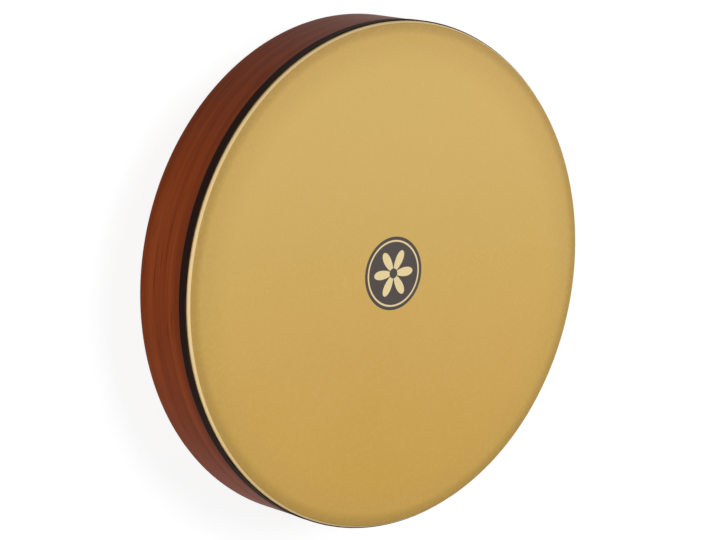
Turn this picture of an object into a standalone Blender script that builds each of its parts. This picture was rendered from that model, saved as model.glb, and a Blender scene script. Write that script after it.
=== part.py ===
"""A shallow hand drum, 16 inches across, with a glued head and an inside tuning ring. Metres, +Z up.

The drum lies on its back rim: the rim's flat is on z = 0 and the playing face looks up, along +Z.
Six screws, turned from the open back, push a wooden ring forward against the head.
"""

import math

import bmesh
import bpy
from mathutils import Matrix, Vector

# Overall size
DRUM_DIAMETER = 0.4064  # across the cover band, the widest piece
DRUM_DEPTH = 0.0635  # back rim to playing face
HOOP_FACETS = 72  # flats round each large hoop
SEAT_GAP = 0.0003  # air between two pieces that touch

# Laminated shell
SHELL_WALL = 0.008
SHELL_BACK_ROUND = 0.0022  # both corners of the back rim
SHELL_TURN_ROUND = 0.0025  # outer front corner, where the head turns down
SHELL_LIP_ROUND = 0.001  # inner front corner

# Head
HEAD_THICKNESS = 0.0005
COLLAR_DEPTH = 0.0115  # playing face to the collar's cut edge

# Cover band over the collar
BAND_THICKNESS = 0.0006
BAND_WIDTH = 0.0085
BAND_SETBACK = 0.0045  # playing face to the band's front edge
BAND_PROUD = 0.0004  # how far the band stands out from the shell
BAND_EDGE_ROUND = 0.0002

# Tuning ring
RING_WALL = 0.012
RING_HEIGHT = 0.014
RING_PLAY = 0.0008  # sliding room between ring and shell
RING_PROUD = 0.0008  # how far the crown stands above the shell
RING_CROWN_ROUND = 0.003
RING_BEVEL_DROP = 0.004  # fall of the crown's inner slope
RING_CORNER_ROUND = 0.0008
RING_TRAVEL = 0.0025  # how far the screws let the ring back

# Thrust plates let into the back of the ring
TUNING_POINTS = 6
FIRST_TUNING_ANGLE = math.radians(30)
PLATE_WIDTH = 0.016
PLATE_THICKNESS = 0.0015
PLATE_PROUD = 0.0005
PLATE_INSET = 0.0006  # how far the plate stays inside the ring's edges
PLATE_CORNER_ROUND = 0.0015
DIMPLE_DEPTH = 0.0008
DIMPLE_PLAY = 0.0003  # room round the screw's tip

# Tuning screws, M6 with a cap head
SCREW_RADIUS = 0.003
SCREW_LENGTH = 0.020  # tip to the underside of the cap
SCREW_TIP_RADIUS = 0.002
SCREW_TIP_LENGTH = 0.0015
CAP_RADIUS = 0.005
CAP_HEIGHT = 0.006
CAP_EDGE = 0.0005
SOCKET_ACROSS_FLATS = 0.005
SOCKET_DEPTH = 0.003
SCREW_PLAY = 0.0003  # room between the screw and its nut or bracket

# Brackets bent from steel plate
BRACKET_PLATE = 0.002
BRACKET_WIDTH = 0.030
BRACKET_LEG = 0.0205
BRACKET_BEND = 0.001  # inside radius of the bend
BRACKET_CORNER = 0.004
BRACKET_SPIN_STEPS = 6
FOOT_CLEARANCE = 0.0026  # left above the foot when the ring is fully back
FOOT_OVERHANG = 0.0075  # foot beyond the screw's axis
NUT_CLEARANCE = 0.0005  # between the nut and the bend

# Nuts welded under the feet
NUT_ACROSS_FLATS = 0.010
NUT_HEIGHT = 0.005

# Wood screws that hold the brackets
WOOD_SCREW_RADIUS = 0.00175
WOOD_SCREW_LENGTH = 0.008
WOOD_SCREW_POINT = 0.003
WOOD_HEAD_RADIUS = 0.0035
WOOD_HEAD_HEIGHT = 0.0024
WOOD_SCREW_INSET = 0.005  # in from each end of the bracket
WOOD_SCREW_RISE = 0.008  # above the leg's lower edge
WOOD_HOLE_PLAY = 0.0004
RECESS_WIDTH = 0.0009
RECESS_SPAN = 0.004
RECESS_DEPTH = 0.0012

# Radii that follow from the sizes above
BAND_OUTER = DRUM_DIAMETER / 2
BAND_INNER = BAND_OUTER - BAND_THICKNESS
HEAD_OUTER = BAND_INNER - SEAT_GAP
REBATE_OUTER = HEAD_OUTER - HEAD_THICKNESS - SEAT_GAP
SHELL_OUTER = BAND_OUTER - BAND_PROUD
SHELL_INNER = SHELL_OUTER - SHELL_WALL
RING_OUTER = SHELL_INNER - RING_PLAY
RING_INNER = RING_OUTER - RING_WALL
LEG_OUTER = SHELL_INNER * math.cos(math.pi / HOOP_FACETS) - SEAT_GAP
LEG_INNER = LEG_OUTER - BRACKET_PLATE
TUNING_RADIUS = LEG_INNER - BRACKET_BEND - NUT_CLEARANCE - NUT_ACROSS_FLATS / 2
FOOT_END = TUNING_RADIUS - FOOT_OVERHANG

# Heights that follow, from the playing face down
HEAD_UNDERSIDE = DRUM_DEPTH - HEAD_THICKNESS
BAND_TOP = DRUM_DEPTH - BAND_SETBACK
BAND_BOTTOM = BAND_TOP - BAND_WIDTH
REBATE_BOTTOM = BAND_BOTTOM - SEAT_GAP
RING_TOP = HEAD_UNDERSIDE - SEAT_GAP
SHELL_FRONT = RING_TOP - RING_PROUD
RING_BOTTOM = RING_TOP - RING_HEIGHT
PLATE_BOTTOM = RING_BOTTOM - PLATE_PROUD
PLATE_TOP = PLATE_BOTTOM + PLATE_THICKNESS
NOTCH_TOP = PLATE_TOP + SEAT_GAP
DIMPLE_TOP = PLATE_BOTTOM + DIMPLE_DEPTH
SCREW_TIP = DIMPLE_TOP - SEAT_GAP
FOOT_TOP = PLATE_BOTTOM - RING_TRAVEL - FOOT_CLEARANCE
FOOT_BOTTOM = FOOT_TOP - BRACKET_PLATE
LEG_BOTTOM = FOOT_TOP - BRACKET_LEG
NUT_TOP = FOOT_BOTTOM - SEAT_GAP
WOOD_SCREW_HEIGHT = LEG_BOTTOM + WOOD_SCREW_RISE

# Smoothness of small round features
CORNER_STEPS = 3
SMALL_FACETS = 18
TINY_FACETS = 12
DOME_STEPS = 2
CUT_MARGIN = 0.004  # how far a cutter runs past the surface it cuts
AXIS_MERGE = 0.00001

# Colour, roughness and metallic value of each finish
FINISHES = {
    "stained_shell": ((0.165, 0.036, 0.013), 0.38, 0.0),
    "head_film": ((0.610, 0.415, 0.115), 0.55, 0.0),
    "black_band": ((0.012, 0.008, 0.008), 0.65, 0.0),
    "beech_ring": ((0.270, 0.090, 0.035), 0.50, 0.0),
    "zinc_steel": ((0.560, 0.550, 0.520), 0.35, 1.0),
    "black_steel": ((0.030, 0.030, 0.032), 0.45, 0.6),
}


def clear_scene():
    for old in list(bpy.data.objects):
        bpy.data.objects.remove(old, do_unlink=True)


def new_collection(name):
    collection = bpy.data.collections.new(name)
    bpy.context.scene.collection.children.link(collection)
    return collection


def make_finish(name):
    colour, roughness, metallic = FINISHES[name]
    material = bpy.data.materials.new(name)
    material.use_nodes = True
    shader = material.node_tree.nodes["Principled BSDF"]
    shader.inputs["Base Color"].default_value = (*colour, 1.0)
    shader.inputs["Roughness"].default_value = roughness
    shader.inputs["Metallic"].default_value = metallic
    return material


def add_part(name, mesh, finish, collection):
    """One piece of the drum: an object that shows the mesh in the given finish."""
    part = bpy.data.objects.new(name, mesh)
    collection.objects.link(part)
    if finish.name not in mesh.materials:
        mesh.materials.append(finish)
    return part


def add_cutter(name, mesh, cutters):
    cutter = bpy.data.objects.new(name, mesh)
    cutters.objects.link(cutter)
    cutter.hide_render = True
    cutter.display_type = "WIRE"
    return cutter


def cut(part, cutter):
    modifier = part.modifiers.new("cut_" + cutter.name, "BOOLEAN")
    modifier.operation = "DIFFERENCE"
    modifier.solver = "EXACT"
    modifier.object = cutter


def shade(mesh):
    """Smooth shading that keeps real corners sharp."""
    mesh.shade_smooth()
    mesh.set_sharp_from_angle(angle=math.radians(35))


def arc(centre_r, centre_z, radius, start, end, steps=CORNER_STEPS):
    """Points on an arc in the radius and height plane, angles in degrees from +r towards +z."""
    angles = [math.radians(start + (end - start) * i / steps) for i in range(steps + 1)]
    return [(centre_r + radius * math.cos(a), centre_z + radius * math.sin(a)) for a in angles]


def turned_mesh(name, profile, closed):
    """A mesh that holds a profile in the XZ plane, for a Screw modifier to turn round Z."""
    mesh = bpy.data.meshes.new(name)
    points = [(r, 0.0, z) for r, z in profile]
    edges = [(i, i + 1) for i in range(len(points) - 1)]
    if closed:
        edges.append((len(points) - 1, 0))
    mesh.from_pydata(points, edges, [])
    return mesh


def turn(part, facets):
    modifier = part.modifiers.new("turned", "SCREW")
    modifier.axis = "Z"
    modifier.angle = math.tau
    modifier.steps = facets
    modifier.render_steps = facets
    modifier.use_merge_vertices = True
    modifier.merge_threshold = AXIS_MERGE
    modifier.use_smooth_shade = True


def even_shading(part):
    """Smooth shading led by the large faces, so that small rounds leave the walls even."""
    modifier = part.modifiers.new("even_shading", "WEIGHTED_NORMAL")
    modifier.mode = "FACE_AREA"


def finished_mesh(part, cutter_list=()):
    """The part's mesh with its modifiers applied. The part and its cutters are then removed."""
    bpy.context.view_layer.update()
    graph = bpy.context.evaluated_depsgraph_get()
    mesh = bpy.data.meshes.new_from_object(part.evaluated_get(graph))
    for spent in (part, *cutter_list):
        bpy.data.objects.remove(spent, do_unlink=True)
    shade(mesh)
    return mesh


def mesh_of(name, build):
    """A new mesh filled by a function that works on a bmesh."""
    shape = bmesh.new()
    build(shape)
    mesh = bpy.data.meshes.new(name)
    shape.to_mesh(mesh)
    shape.free()
    return mesh


def add_box(shape, low, high):
    """A box between two corners, with its faces pointing out."""
    low, high = Vector(low), Vector(high)
    made = bmesh.ops.create_cube(shape, size=1.0)["verts"]
    bmesh.ops.scale(shape, vec=high - low, verts=made)
    bmesh.ops.translate(shape, vec=(low + high) / 2, verts=made)
    return made


def add_rod(shape, radius, start, end, facets, turn_by=0.0):
    """A cylinder or prism from one point to another."""
    start, end = Vector(start), Vector(end)
    along = end - start
    made = bmesh.ops.create_cone(
        shape, cap_ends=True, segments=facets, radius1=radius, radius2=radius, depth=along.length
    )["verts"]
    spin = Matrix.Rotation(turn_by, 4, "Z")
    aim = along.to_track_quat("Z", "Y").to_matrix().to_4x4()
    bmesh.ops.transform(shape, matrix=Matrix.Translation((start + end) / 2) @ aim @ spin, verts=made)
    return made


def tuning_angles():
    return [FIRST_TUNING_ANGLE + math.tau * i / TUNING_POINTS for i in range(TUNING_POINTS)]


def wood_screw_angles(angle):
    """The two directions, from the drum's axis, of the wood screws of one bracket."""
    offset = (BRACKET_WIDTH / 2 - WOOD_SCREW_INSET) / LEG_INNER
    return (angle - offset, angle + offset)


def direction(angle):
    return Vector((math.cos(angle), math.sin(angle), 0.0))


def wood_screw_reach():
    """Distance from the drum's axis to the point of a wood screw."""
    return LEG_INNER - SEAT_GAP + WOOD_SCREW_LENGTH


def make_shell(parts, cutters):
    """The laminated hoop. A shallow rebate seats collar and band, and pilot holes the wood screws."""
    front, back, lip = SHELL_TURN_ROUND, SHELL_BACK_ROUND, SHELL_LIP_ROUND
    profile = [
        *arc(REBATE_OUTER - front, SHELL_FRONT - front, front, 90, 0),
        (REBATE_OUTER, REBATE_BOTTOM),
        (SHELL_OUTER, REBATE_BOTTOM),
        *arc(SHELL_OUTER - back, back, back, 0, -90),
        *arc(SHELL_INNER + back, back, back, -90, -180),
        *arc(SHELL_INNER + lip, SHELL_FRONT - lip, lip, 180, 90, 2),
    ]
    mesh = turned_mesh("shell", profile, closed=True)
    shell = add_part("shell", mesh, make_finish("stained_shell"), parts)
    turn(shell, HOOP_FACETS)

    def pilot_holes(shape):
        height = Vector((0.0, 0.0, WOOD_SCREW_HEIGHT))
        for angle in tuning_angles():
            for side in wood_screw_angles(angle):
                start = direction(side) * (SHELL_INNER - CUT_MARGIN) + height
                end = direction(side) * (wood_screw_reach() + SEAT_GAP) + height
                add_rod(shape, WOOD_SCREW_RADIUS + SEAT_GAP, start, end, TINY_FACETS)

    cut(shell, add_cutter("pilot_holes", mesh_of("pilot_holes", pilot_holes), cutters))
    even_shading(shell)


def head_path(sink):
    """The head's section from the axis out over the ring and down the shell, moved in by sink."""
    turn_centre_r = REBATE_OUTER - SHELL_TURN_ROUND
    turn_centre_z = SHELL_FRONT - SHELL_TURN_ROUND
    turn_radius = SHELL_TURN_ROUND + SEAT_GAP + HEAD_THICKNESS - sink
    return [
        (0.0, DRUM_DEPTH - sink),
        (RING_OUTER - RING_CROWN_ROUND, DRUM_DEPTH - sink),
        *arc(turn_centre_r, turn_centre_z, turn_radius, 90, 0),
        (HEAD_OUTER - sink, DRUM_DEPTH - COLLAR_DEPTH),
    ]


def make_head(parts):
    """A taut film that lies on the ring's crown, turns over the shell and ends in a glued collar."""
    profile = head_path(0.0) + head_path(HEAD_THICKNESS)[::-1]
    mesh = turned_mesh("head", profile, closed=False)
    head = add_part("head", mesh, make_finish("head_film"), parts)
    turn(head, HOOP_FACETS)
    even_shading(head)


def make_cover_band(parts):
    """The dark strip that hides the collar's cut edge."""
    edge = BAND_EDGE_ROUND
    profile = [
        (BAND_OUTER - edge, BAND_TOP),
        (BAND_OUTER, BAND_TOP - edge),
        (BAND_OUTER, BAND_BOTTOM + edge),
        (BAND_OUTER - edge, BAND_BOTTOM),
        (BAND_INNER, BAND_BOTTOM),
        (BAND_INNER, BAND_TOP),
    ]
    mesh = turned_mesh("cover_band", profile, closed=True)
    band = add_part("cover_band", mesh, make_finish("black_band"), parts)
    turn(band, HOOP_FACETS)
    even_shading(band)


def make_tuning_ring(parts, cutters):
    """The ring that tensions the head: a round crown, an inward slope and a notch for each plate."""
    crown, corner = RING_CROWN_ROUND, RING_CORNER_ROUND
    profile = [
        *arc(RING_OUTER - crown, RING_TOP - crown, crown, 90, 0),
        *arc(RING_OUTER - corner, RING_BOTTOM + corner, corner, 0, -90, 2),
        *arc(RING_INNER + corner, RING_BOTTOM + corner, corner, -90, -180, 2),
        (RING_INNER, RING_TOP - RING_BEVEL_DROP),
    ]
    mesh = turned_mesh("tuning_ring", profile, closed=True)
    ring = add_part("tuning_ring", mesh, make_finish("beech_ring"), parts)
    turn(ring, HOOP_FACETS)

    def notches(shape):
        half = PLATE_WIDTH / 2 + SEAT_GAP
        for angle in tuning_angles():
            low = (RING_INNER - CUT_MARGIN, -half, RING_BOTTOM - CUT_MARGIN)
            high = (RING_OUTER + CUT_MARGIN, half, NOTCH_TOP)
            box = add_box(shape, low, high)
            bmesh.ops.rotate(shape, matrix=Matrix.Rotation(angle, 3, "Z"), verts=box)

    cut(ring, add_cutter("plate_notches", mesh_of("plate_notches", notches), cutters))
    even_shading(ring)


def thrust_plate_mesh(parts, cutters, finish):
    """A small steel plate, at the angle 0 tuning point, with a dimple for the screw's tip."""
    low = (RING_INNER + PLATE_INSET, -PLATE_WIDTH / 2, PLATE_BOTTOM)
    far_edge = math.sqrt(RING_OUTER**2 - (PLATE_WIDTH / 2) ** 2) - PLATE_INSET
    high = (far_edge, PLATE_WIDTH / 2, PLATE_TOP)

    def plate(shape):
        add_box(shape, low, high)
        upright = [e for e in shape.edges if abs((e.verts[0].co - e.verts[1].co).z) > PLATE_THICKNESS / 2]
        bmesh.ops.bevel(
            shape, geom=upright, offset=PLATE_CORNER_ROUND, segments=3, profile=0.5, affect="EDGES"
        )

    def dimple(shape):
        radius = SCREW_TIP_RADIUS + DIMPLE_PLAY
        start = (TUNING_RADIUS, 0.0, PLATE_BOTTOM - CUT_MARGIN)
        add_rod(shape, radius, start, (TUNING_RADIUS, 0.0, DIMPLE_TOP), TINY_FACETS)

    master = add_part("thrust_plate", mesh_of("thrust_plate", plate), finish, parts)
    cutter = add_cutter("dimple", mesh_of("dimple", dimple), cutters)
    cut(master, cutter)
    return finished_mesh(master, [cutter])


def tuning_screw_mesh(parts, cutters, finish):
    """A cap screw that points up: its tip is at the origin and its socket opens at the bottom."""
    cap_top = -SCREW_LENGTH
    cap_bottom = cap_top - CAP_HEIGHT
    neck = SCREW_RADIUS - SCREW_TIP_RADIUS
    profile = [
        (0.0, 0.0),
        (SCREW_TIP_RADIUS - CAP_EDGE, 0.0),
        (SCREW_TIP_RADIUS, -CAP_EDGE),
        (SCREW_TIP_RADIUS, -SCREW_TIP_LENGTH),
        (SCREW_RADIUS, -SCREW_TIP_LENGTH - neck),
        (SCREW_RADIUS, cap_top),
        (CAP_RADIUS, cap_top),
        (CAP_RADIUS, cap_bottom + CAP_EDGE),
        (CAP_RADIUS - CAP_EDGE, cap_bottom),
        (0.0, cap_bottom),
    ]
    master = add_part("tuning_screw", turned_mesh("tuning_screw", profile, closed=False), finish, parts)
    turn(master, SMALL_FACETS)

    def socket(shape):
        radius = SOCKET_ACROSS_FLATS / 2 / math.cos(math.pi / 6)
        start = (0.0, 0.0, cap_bottom - CUT_MARGIN)
        add_rod(shape, radius, start, (0.0, 0.0, cap_bottom + SOCKET_DEPTH), 6)

    cutter = add_cutter("hex_socket", mesh_of("hex_socket", socket), cutters)
    cut(master, cutter)
    return finished_mesh(master, [cutter])


def bracket_mesh(parts, cutters, finish):
    """An angle bracket at angle 0: a leg curved to the shell, a bend, and a foot under the ring."""
    outside_bend = BRACKET_BEND + BRACKET_PLATE
    bend_r, bend_z = LEG_OUTER - outside_bend, FOOT_TOP - outside_bend
    section = [
        (FOOT_END, FOOT_TOP),
        *arc(bend_r, bend_z, outside_bend, 90, 0),
        (LEG_OUTER, LEG_BOTTOM),
        (LEG_INNER, LEG_BOTTOM),
        *arc(bend_r, bend_z, BRACKET_BEND, 0, 90),
        (FOOT_END, FOOT_BOTTOM),
    ]
    sweep = BRACKET_WIDTH / LEG_OUTER
    tight = BRACKET_PLATE / 100

    def plate(shape):
        start = Matrix.Rotation(-sweep / 2, 3, "Z")
        verts = [shape.verts.new(start @ Vector((r, 0.0, z))) for r, z in section]
        face = shape.faces.new(verts)
        bmesh.ops.spin(
            shape, geom=[face, *face.edges, *verts], axis=(0, 0, 1), cent=(0, 0, 0),
            angle=sweep, steps=BRACKET_SPIN_STEPS, use_merge=False,
        )
        bmesh.ops.recalc_face_normals(shape, faces=shape.faces)
        corners = []
        for edge in shape.edges:
            ends = [v.co for v in edge.verts]
            across = all(abs(abs(math.atan2(p.y, p.x)) - sweep / 2) < 1e-4 for p in ends)
            at_foot_end = all(abs(p.xy.length - FOOT_END) < tight for p in ends)
            at_leg_end = all(abs(p.z - LEG_BOTTOM) < tight for p in ends)
            if across and (at_foot_end or at_leg_end):
                corners.append(edge)
        bmesh.ops.bevel(
            shape, geom=corners, offset=BRACKET_CORNER, segments=3, profile=0.5, affect="EDGES"
        )

    def holes(shape):
        start = (TUNING_RADIUS, 0.0, FOOT_BOTTOM - CUT_MARGIN)
        end = (TUNING_RADIUS, 0.0, FOOT_TOP + CUT_MARGIN)
        add_rod(shape, SCREW_RADIUS + SCREW_PLAY, start, end, SMALL_FACETS)
        height = Vector((0.0, 0.0, WOOD_SCREW_HEIGHT))
        for side in wood_screw_angles(0.0):
            inside = direction(side) * (LEG_INNER - BRACKET_PLATE) + height
            outside = direction(side) * (LEG_OUTER + BRACKET_PLATE) + height
            add_rod(shape, WOOD_SCREW_RADIUS + WOOD_HOLE_PLAY, inside, outside, TINY_FACETS)

    master = add_part("bracket", mesh_of("bracket", plate), finish, parts)
    cutter = add_cutter("bracket_holes", mesh_of("bracket_holes", holes), cutters)
    cut(master, cutter)
    return finished_mesh(master, [cutter])


def nut_mesh(parts, cutters, finish):
    """A hexagon nut at the angle 0 tuning point, with a flat towards the bracket's leg."""
    top = (TUNING_RADIUS, 0.0, NUT_TOP)
    bottom = (TUNING_RADIUS, 0.0, NUT_TOP - NUT_HEIGHT)

    def hexagon(shape):
        radius = NUT_ACROSS_FLATS / 2 / math.cos(math.pi / 6)
        add_rod(shape, radius, bottom, top, 6, turn_by=math.pi / 6)

    def bore(shape):
        past = Vector((0.0, 0.0, CUT_MARGIN))
        add_rod(shape, SCREW_RADIUS + SCREW_PLAY, Vector(bottom) - past, Vector(top) + past, SMALL_FACETS)

    master = add_part("nut", mesh_of("nut", hexagon), finish, parts)
    cutter = add_cutter("nut_bore", mesh_of("nut_bore", bore), cutters)
    cut(master, cutter)
    return finished_mesh(master, [cutter])


def wood_screw_mesh(parts, cutters, finish):
    """A pan head wood screw along +X: the head's seat is at the origin and the point is outward."""
    dome_radius = (WOOD_HEAD_RADIUS**2 + WOOD_HEAD_HEIGHT**2) / (2 * WOOD_HEAD_HEIGHT)
    dome_angle = math.degrees(math.asin(WOOD_HEAD_RADIUS / dome_radius))
    profile = [
        *arc(0.0, WOOD_HEAD_HEIGHT - dome_radius, dome_radius, 90, 90 - dome_angle, DOME_STEPS),
        (WOOD_SCREW_RADIUS, 0.0),
        (WOOD_SCREW_RADIUS, WOOD_SCREW_POINT - WOOD_SCREW_LENGTH),
        (0.0, -WOOD_SCREW_LENGTH),
    ]
    master = add_part("wood_screw", turned_mesh("wood_screw", profile, closed=False), finish, parts)
    turn(master, TINY_FACETS)
    slots = []
    for index, quarter in enumerate((0.0, math.pi / 2)):

        def slot(shape, quarter=quarter):
            low = (-RECESS_SPAN / 2, -RECESS_WIDTH / 2, WOOD_HEAD_HEIGHT - RECESS_DEPTH)
            high = (RECESS_SPAN / 2, RECESS_WIDTH / 2, WOOD_HEAD_HEIGHT + CUT_MARGIN)
            box = add_box(shape, low, high)
            bmesh.ops.rotate(shape, matrix=Matrix.Rotation(quarter, 3, "Z"), verts=box)

        slots.append(add_cutter(f"recess_{index}", mesh_of("recess", slot), cutters))
        cut(master, slots[-1])
    mesh = finished_mesh(master, slots)
    mesh.transform(Matrix.Rotation(-math.pi / 2, 4, "Y"))
    return mesh


def place_tuning_points(parts, cutters):
    """At each tuning point: a plate, a screw, a bracket with its nut, and two wood screws."""
    steel = make_finish("zinc_steel")
    plate = thrust_plate_mesh(parts, cutters, steel)
    screw = tuning_screw_mesh(parts, cutters, steel)
    bracket = bracket_mesh(parts, cutters, make_finish("black_steel"))
    nut = nut_mesh(parts, cutters, steel)
    wood_screw = wood_screw_mesh(parts, cutters, steel)
    for number, angle in enumerate(tuning_angles(), start=1):
        for name, mesh in (("thrust_plate", plate), ("bracket", bracket), ("weld_nut", nut)):
            part = add_part(f"{name}_{number}", mesh, mesh.materials[0], parts)
            part.rotation_euler.z = angle
        part = add_part(f"tuning_screw_{number}", screw, screw.materials[0], parts)
        part.location = direction(angle) * TUNING_RADIUS + Vector((0.0, 0.0, SCREW_TIP))
        part.rotation_euler.z = angle
        for letter, side in zip("ab", wood_screw_angles(angle)):
            part = add_part(f"wood_screw_{number}{letter}", wood_screw, wood_screw.materials[0], parts)
            part.location = direction(side) * (LEG_INNER - SEAT_GAP) + Vector((0.0, 0.0, WOOD_SCREW_HEIGHT))
            part.rotation_euler.z = side


def main():
    clear_scene()
    parts = new_collection("hand_drum")
    cutters = new_collection("cutters")
    make_shell(parts, cutters)
    make_head(parts)
    make_cover_band(parts)
    make_tuning_ring(parts, cutters)
    place_tuning_points(parts, cutters)


main()
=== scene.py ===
# %% [markdown]
# # A hand drum, piece by piece
# The drum lies on its back rim and its playing face looks up, along +Z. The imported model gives
# every piece its place and size. This lesson makes a finer piece for each of them and then mixes
# a finish for each material: stained wood, head film, black band, plated and painted steel.

import math

import bmesh
import bpy
from mathutils import Matrix, Vector


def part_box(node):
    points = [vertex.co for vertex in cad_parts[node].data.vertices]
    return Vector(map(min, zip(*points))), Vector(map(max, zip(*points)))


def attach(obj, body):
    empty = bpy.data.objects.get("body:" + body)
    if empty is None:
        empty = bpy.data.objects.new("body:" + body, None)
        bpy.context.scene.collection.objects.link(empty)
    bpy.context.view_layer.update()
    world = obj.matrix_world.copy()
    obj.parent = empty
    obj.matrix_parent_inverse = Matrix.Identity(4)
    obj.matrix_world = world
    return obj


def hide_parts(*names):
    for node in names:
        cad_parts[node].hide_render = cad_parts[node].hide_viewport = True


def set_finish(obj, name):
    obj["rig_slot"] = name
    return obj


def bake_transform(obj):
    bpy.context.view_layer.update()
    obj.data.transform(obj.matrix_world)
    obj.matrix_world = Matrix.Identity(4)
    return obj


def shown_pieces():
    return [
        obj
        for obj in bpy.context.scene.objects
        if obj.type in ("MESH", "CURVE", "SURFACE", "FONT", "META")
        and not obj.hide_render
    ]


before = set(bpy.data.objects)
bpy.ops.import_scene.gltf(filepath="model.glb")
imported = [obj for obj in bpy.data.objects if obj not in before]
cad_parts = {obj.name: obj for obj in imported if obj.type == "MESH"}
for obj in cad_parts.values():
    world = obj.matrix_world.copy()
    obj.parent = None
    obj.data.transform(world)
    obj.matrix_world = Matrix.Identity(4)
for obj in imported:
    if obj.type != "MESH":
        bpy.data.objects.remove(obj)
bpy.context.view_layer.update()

# %% [markdown]
# ## Sizes
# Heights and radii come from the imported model, so a piece made here fits its neighbours. A few
# sizes can't be read from a box, such as the thickness of a film, and they are named here.

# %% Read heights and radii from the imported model
BAND_LOW, BAND_HIGH = (corner.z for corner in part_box("cover_band"))
BAND_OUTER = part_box("cover_band")[1].x
COLLAR_LOW, FACE = (corner.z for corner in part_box("head"))
HEAD_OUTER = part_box("head")[1].x
SHELL_OUTER, SHELL_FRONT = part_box("shell")[1].x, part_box("shell")[1].z
RING_LOW, RING_HIGH = (corner.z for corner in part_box("tuning_ring"))
RING_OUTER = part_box("tuning_ring")[1].x

MM = 0.001
SEAT_GAP = 0.0003
FILM = 0.0005
SHELL_WALL = 0.008
RING_WALL = 0.012
SHELL_INNER = SHELL_OUTER - SHELL_WALL
RING_INNER = RING_OUTER - RING_WALL
REBATE_OUTER = HEAD_OUTER - FILM - SEAT_GAP
REBATE_LOW = BAND_LOW - SEAT_GAP
print(f"band radius {BAND_OUTER * 1000:.1f} mm, face height {FACE * 1000:.1f} mm")


# %% Find the six tuning points
def middle(node):
    low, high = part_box(node)
    return (low + high) / 2


def angle_of(node):
    """A node's place round the drum's axis."""
    return math.atan2(middle(node).y, middle(node).x)


POINTS = range(1, 7)
TUNING_ANGLES = {n: angle_of(f"tuning_screw_{n}") for n in POINTS}
TUNING_RADIUS = middle("tuning_screw_2").xy.length
SCREW_LOW, SCREW_TIP = (corner.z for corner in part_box("tuning_screw_2"))
NUT_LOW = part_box("weld_nut_2")[0].z
PLATE_LOW, PLATE_HIGH = (corner.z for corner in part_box("thrust_plate_2"))
LEG_LOW, FOOT_HIGH = (corner.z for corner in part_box("bracket_2"))
WOOD_SCREW_HEIGHT = middle("wood_screw_2a").z
print("tuning points at", [round(math.degrees(a)) for a in TUNING_ANGLES.values()], "degrees")

# %% [markdown]
# ## Bench helpers
# Every piece starts as a bmesh. The first helper turns a finished bmesh into an object that rides
# on its body and stands for its node. Sharp corners stay sharp and round ones look round, because
# the mesh is shaded smooth and edges past an angle are marked sharp.

# %% Turn a bmesh into a piece
SHARP = math.radians(38)
CRATE = bpy.context.scene.collection


def make_mesh(name, shape):
    mesh = bpy.data.meshes.new(name)
    shape.to_mesh(mesh)
    shape.free()
    mesh.shade_smooth()
    mesh.set_sharp_from_angle(angle=SHARP)
    return mesh


def show(name, mesh, node, body, slot):
    """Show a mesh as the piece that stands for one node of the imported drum."""
    piece = bpy.data.objects.new(name, mesh)
    CRATE.objects.link(piece)
    if body:
        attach(piece, body)
    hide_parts(node)
    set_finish(piece, slot)
    return piece


# %% Round the corners of an outline
EVEN = 0.0004


def rounded(corners, steps=6):
    """Turn corners (radius, height, rounding) into an outline.

    A point EVEN beyond each rounding keeps the flats beside it evenly lit.
    """
    outline = []
    for before, here, after in zip(corners[-1:] + corners[:-1], corners, corners[1:] + corners[:1]):
        point = Vector(here[:2])
        if here[2] == 0:
            outline.append(point)
            continue
        back = (Vector(before[:2]) - point).normalized()
        ahead = (Vector(after[:2]) - point).normalized()
        half = back.angle(ahead) / 2
        run = here[2] / math.tan(half)
        centre = point + (back + ahead).normalized() * here[2] / math.sin(half)
        arm = point + back * run - centre
        end = point + ahead * run - centre
        sweep = math.atan2(arm.cross(end), arm.dot(end))
        outline.append(point + back * (run + EVEN))
        for step in range(steps + 1):
            outline.append(centre + Matrix.Rotation(sweep * step / steps, 2) @ arm)
        outline.append(point + ahead * (run + EVEN))
    return outline


# %% Spin an outline into a hoop
HOOP_STEPS = 288


def spin(outline, angle=math.tau, steps=HOOP_STEPS, open_ends=False):
    """Spin an outline round the drum's axis.

    A full turn is merged where it meets itself. With open_ends the outline is a line, not a loop.
    """
    shape = bmesh.new()
    verts = [shape.verts.new((r, 0, z)) for r, z in outline]
    pairs = list(zip(verts, verts[1:]))
    if not open_ends:
        pairs.append((verts[-1], verts[0]))
    edges = [shape.edges.new(pair) for pair in pairs]
    full = math.isclose(angle, math.tau)
    bmesh.ops.spin(
        shape, geom=verts + edges, axis=(0, 0, 1), cent=(0, 0, 0),
        angle=angle, steps=steps, use_merge=full,
    )
    if not full:
        bmesh.ops.holes_fill(shape, edges=[e for e in shape.edges if e.is_boundary], sides=0)
    bmesh.ops.remove_doubles(shape, verts=shape.verts, dist=1e-6)
    bmesh.ops.recalc_face_normals(shape, faces=shape.faces)
    return shape


# %% Cut one shape out of another
def carve(shape, tool):
    """Take the bmesh tool away from the bmesh shape with an exact Boolean."""
    made = []
    for part in (shape, tool):
        mesh = bpy.data.meshes.new("carving")
        part.to_mesh(mesh)
        part.free()
        made.append(bpy.data.objects.new("carving", mesh))
        CRATE.objects.link(made[-1])
    modifier = made[0].modifiers.new("cut", "BOOLEAN")
    modifier.operation = "DIFFERENCE"
    modifier.solver = "EXACT"
    modifier.object = made[1]
    bpy.context.view_layer.update()
    cut = made[0].evaluated_get(bpy.context.evaluated_depsgraph_get())
    left = bmesh.new()
    left.from_mesh(cut.to_mesh())
    cut.to_mesh_clear()
    for part in made:
        mesh = part.data
        bpy.data.objects.remove(part)
        bpy.data.meshes.remove(mesh)
    return left


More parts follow.
